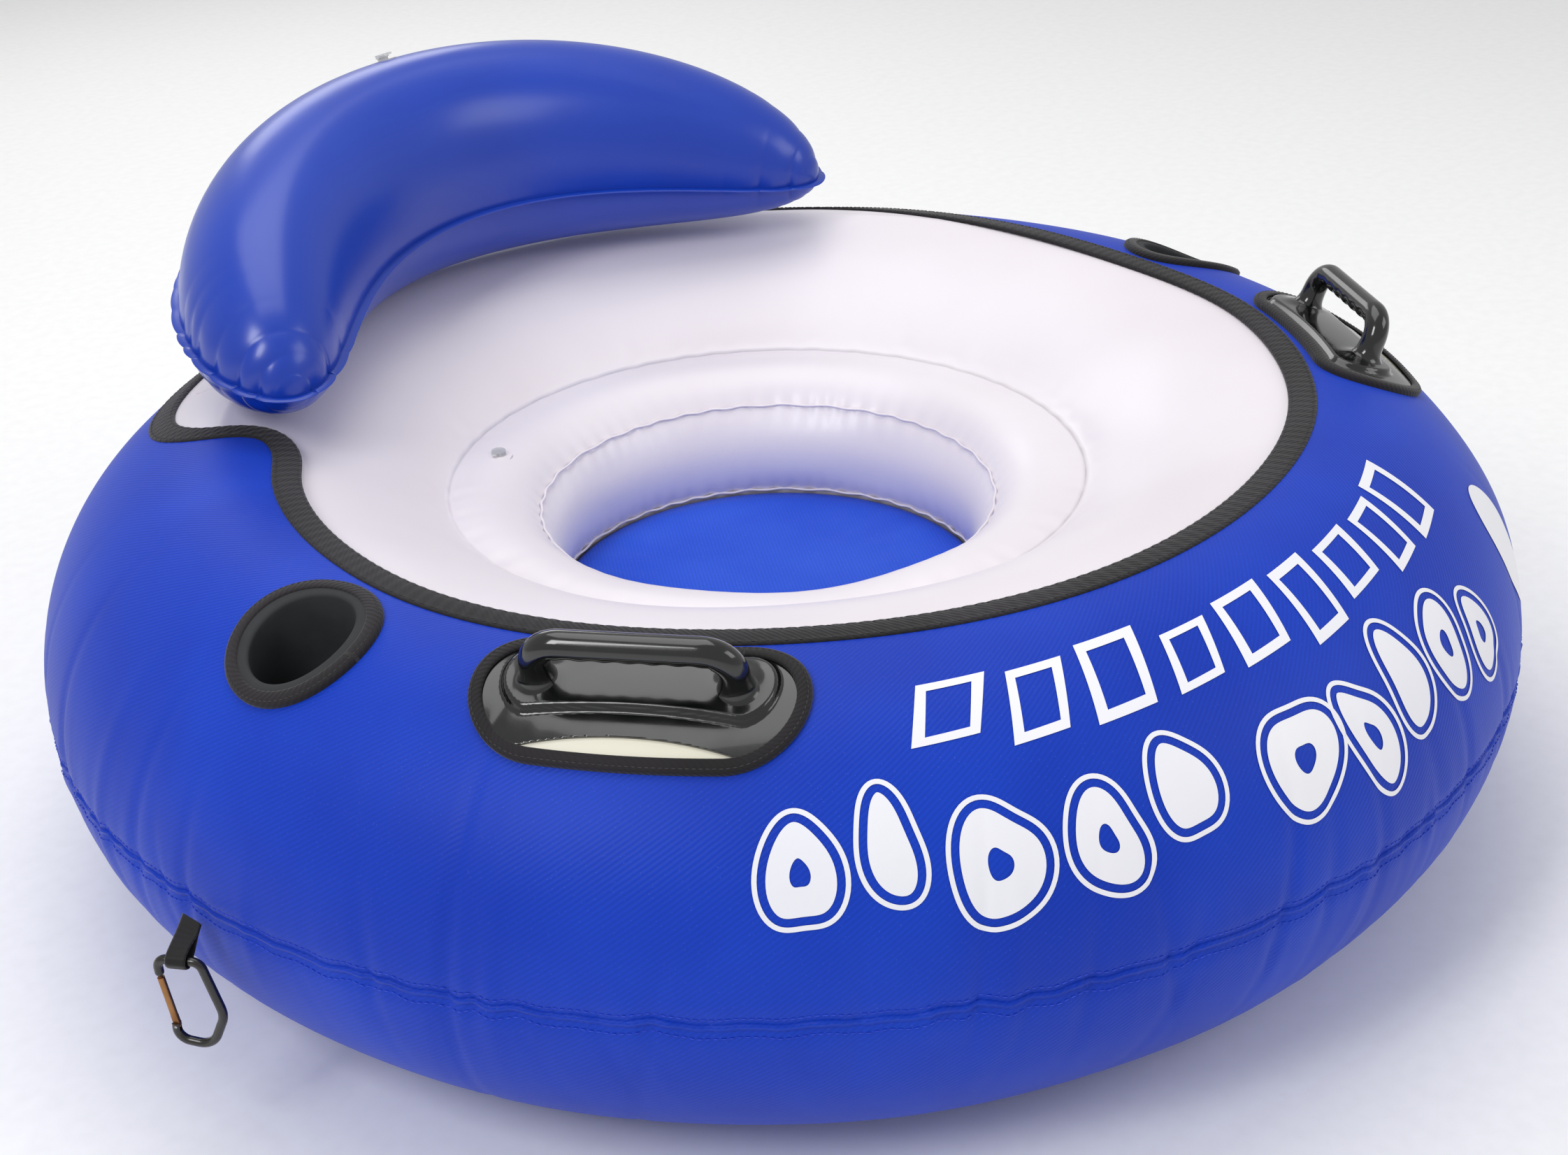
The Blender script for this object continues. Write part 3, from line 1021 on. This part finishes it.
# ================= stitching =================
def stitch_tree():
    """Stitches at an even spacing along each line: a flattened bead of thread turned along the line."""
    tree = bpy.data.node_groups.new("stitch_row", "GeometryNodeTree")
    tree.interface.new_socket("Lines", in_out="INPUT", socket_type="NodeSocketGeometry")
    spacing = tree.interface.new_socket("Spacing", in_out="INPUT", socket_type="NodeSocketFloat")
    length = tree.interface.new_socket("Length", in_out="INPUT", socket_type="NodeSocketFloat")
    thick = tree.interface.new_socket("Thread", in_out="INPUT", socket_type="NodeSocketFloat")
    finish = tree.interface.new_socket("Finish", in_out="INPUT", socket_type="NodeSocketMaterial")
    tree.interface.new_socket("Stitches", in_out="OUTPUT", socket_type="NodeSocketGeometry")
    given = add(tree, "NodeGroupInput")
    curves = add(tree, "GeometryNodeMeshToCurve", {"Mesh": given.outputs["Lines"]})
    places = add(tree, "GeometryNodeCurveToPoints", {
        "Curve": curves.outputs[0], "Length": given.outputs["Spacing"]}, mode="LENGTH")
    bead = add(tree, "GeometryNodeMeshUVSphere", {"Segments": 6, "Rings": 5, "Radius": 0.5})
    size = add(tree, "ShaderNodeCombineXYZ", {
        "X": given.outputs["Thread"], "Y": given.outputs["Thread"], "Z": given.outputs["Length"]})
    shaped = add(tree, "GeometryNodeTransform", {"Geometry": bead.outputs["Mesh"], "Scale": size.outputs[0]})
    placed = add(tree, "GeometryNodeInstanceOnPoints", {
        "Points": places.outputs["Points"], "Instance": shaped.outputs[0],
        "Rotation": places.outputs["Rotation"]})
    real = add(tree, "GeometryNodeRealizeInstances", {"Geometry": placed.outputs[0]})
    painted = add(tree, "GeometryNodeSetMaterial", {
        "Geometry": real.outputs[0], "Material": given.outputs["Finish"]})
    smooth = add(tree, "GeometryNodeSetShadeSmooth", {"Geometry": painted.outputs[0]})
    add(tree, "NodeGroupOutput", {"Stitches": smooth.outputs[0]})
    return tree, {"spacing": spacing.identifier, "length": length.identifier, "thick": thick.identifier,
                  "finish": finish.identifier}


STITCHES, STITCH_KEYS = stitch_tree()


def sew(name, lines, spacing, length, thick, material, body="tube"):
    """One piece of stitches along closed lines of points."""
    points, edges = [], []
    for line in lines:
        start = len(points)
        points.extend(tuple(p) for p in line)
        edges.extend((start + i, start + (i + 1) % len(line)) for i in range(len(line)))
    mesh = bpy.data.meshes.new(name + "_lines")
    mesh.from_pydata(points, edges, [])
    guide = bpy.data.objects.new(name + "_guide", mesh)
    bpy.context.scene.collection.objects.link(guide)
    modifier = guide.modifiers.new("stitches", "NODES")
    modifier.node_group = STITCHES
    modifier[STITCH_KEYS["spacing"]] = spacing
    modifier[STITCH_KEYS["length"]] = length
    modifier[STITCH_KEYS["thick"]] = thick
    modifier[STITCH_KEYS["finish"]] = material
    bpy.context.view_layer.update()
    seen = guide.evaluated_get(bpy.context.evaluated_depsgraph_get())
    plain = bpy.data.meshes.new_from_object(seen)
    guide.modifiers.remove(modifier)
    bpy.data.objects.remove(guide)
    obj = bpy.data.objects.new(name, plain)
    bpy.context.scene.collection.objects.link(obj)
    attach(obj, body)
    return obj


def make_stitching():
    around = np.linspace(-math.pi, math.pi, 2600, endpoint=False)
    wave = 0.0012 * np.sin(around * 97 + 3 * np.sin(11 * around)) + 0.0009 * np.sin(around * 41 + 1)
    lines = []
    for v in (0.0072, -0.0072):
        section = (v + wave * 0.9) / TUBE
        lines.append(cover_point(around, section, 0.0002))
    sew("equator_stitches", lines, 0.0050, 0.0036, 0.0009, THREAD)
    tape_lines = []
    for offset in (0.0082, -0.0085):
        line, _ = closed_spline(opening_corners(), 1500, offset)
        bearing, radius = polar(line)
        tape_lines.append(cover_point(bearing, section_at(radius), 0.0017))
    sew("opening_tape_stitches", tape_lines, 0.0044, 0.0031, 0.0008, BLACK_THREAD)
    rings = []
    for side in (-1, 1):
        skeleton, normal = oval(0.222, 0.100, 360)
        for distance in (0.0474,):
            place = skeleton + normal * distance
            rings.append(patch_point(side * HANDLE[0], HANDLE[1], place[:, 0], place[:, 1], 0.0052))
        turn = np.linspace(0, 2 * math.pi, 240, endpoint=False)
        rings.append(patch_point(side * CUP[0], CUP[1], 0.0535 * np.cos(turn), 0.0535 * np.sin(turn), 0.0050))
    sew("patch_tape_stitches", rings, 0.0042, 0.0030, 0.0008, BLACK_THREAD)


# ================= finishes on the small solid parts =================
def repaint(node, material):
    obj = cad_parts[node]
    if obj.material_slots:
        for place in obj.material_slots:
            place.material = material
    else:
        obj.data.materials.append(material)


def finish_small_parts():
    for kind in ("base", "stem", "cap"):
        repaint("main_valve_" + kind, CLEAR_PVC)
        repaint("backrest_valve_" + kind, CLEAR_PVC)
    repaint("clip_body", ENAMEL)
    repaint("clip_gate", BRONZE)
    repaint("clip_gate_pin", STEEL)
    repaint("clip_gate_spring", STEEL)
    repaint("backrest_fixing_strip", WHITE_FILM)


# ================= studio =================
def make_studio():
    paper, tree, surface = start_material("white_studio_paper", Roughness=0.9)
    place = add(tree, "ShaderNodeTexCoord").outputs["Object"]
    fibre = add(tree, "ShaderNodeTexNoise", {"Vector": place, "Scale": 60.0, "Detail": 3.0})
    colour = ramp_between(tree, fibre.outputs["Fac"], 0.3, 0.7, linear("#f7f7f7"), linear("#fbfbfb"))
    tree.links.new(colour, surface.inputs["Base Color"])
    half = 14
    floor = to_object("studio_floor", [(-half, -half, -0.0006), (half, -half, -0.0006), (half, half, -0.0006),
                                       (-half, half, -0.0006)], [(0, 1, 2, 3)], paper, body=None, smooth=False)
    world = bpy.data.worlds.new("studio_air")
    bpy.context.scene.world = world
    world.use_nodes = True
    tree = world.node_tree
    tree.nodes.clear()
    sky = add(tree, "ShaderNodeBackground", {"Color": (1, 1, 1, 1), "Strength": 0.56})
    add(tree, "ShaderNodeOutputWorld", {"Surface": sky.outputs[0]})
    lamps = (("key_softbox", (-2.6, -0.4, 2.6), 0.9, 1.4, 38), ("fill_softbox", (1.8, -2.8, 2.2), 1.8, 1.4, 18),
             ("top_softbox", (0.2, 0.6, 3.2), 2.4, 2.4, 34), ("back_softbox", (1.2, 3.0, 1.8), 1.6, 1.0, 11))
    for name, place, width, depth, power in lamps:
        light = bpy.data.lights.new(name, "AREA")
        light.shape = "RECTANGLE"
        light.size, light.size_y, light.energy = width, depth, power
        lamp = bpy.data.objects.new(name, light)
        bpy.context.scene.collection.objects.link(lamp)
        lamp.location = place
        aim = Vector((0, 0.05, 0.2)) - Vector(place)
        lamp.rotation_euler = aim.to_track_quat("-Z", "Y").to_euler()


def make_camera():
    place = Vector((-1.1085, -1.1736, 1.0099))
    forward = Vector((0.6093, 0.6427, -0.4644)).normalized()
    up = Vector((0.3501, 0.3075, 0.8848))
    right = forward.cross(up).normalized()
    up = right.cross(forward)
    lens = bpy.data.cameras.new("camera")
    lens.sensor_fit, lens.sensor_width, lens.lens = "HORIZONTAL", 36.0, 48.15
    lens.clip_start, lens.clip_end = 0.01, 60
    camera = bpy.data.objects.new("camera", lens)
    bpy.context.scene.collection.objects.link(camera)
    camera.matrix_world = Matrix((
        (right.x, up.x, -forward.x, place.x), (right.y, up.y, -forward.y, place.y),
        (right.z, up.z, -forward.z, place.z), (0, 0, 0, 1)))
    bpy.context.scene.camera = camera
    bpy.context.scene.view_settings.view_transform = "Standard"


upper = make_cover_upper()
lower = make_cover_lower()
floor = make_floor_cloth("cover_floor_cloth", "cover_floor_panel", 0.0, 0.4355, 0.0, 23, 0.0012, 0.0022)
seat = make_floor_cloth("seat_floor_cloth_skin", "seat_floor_cloth", SEAT_Y, 0.1834, 0.1535,
                        17, 0.0008, 0.0030)
make_equator_seam()
make_opening_tape()
make_bladder_film()
make_weld_lines()
backrest = make_backrest()
for side in (-1, 1):
    make_handle(side)
    make_cup_holder(side)
    make_link_strap(side)
make_prints()
make_stitching()
finish_small_parts()
make_studio()
make_camera()

bpy.context.view_layer.update()
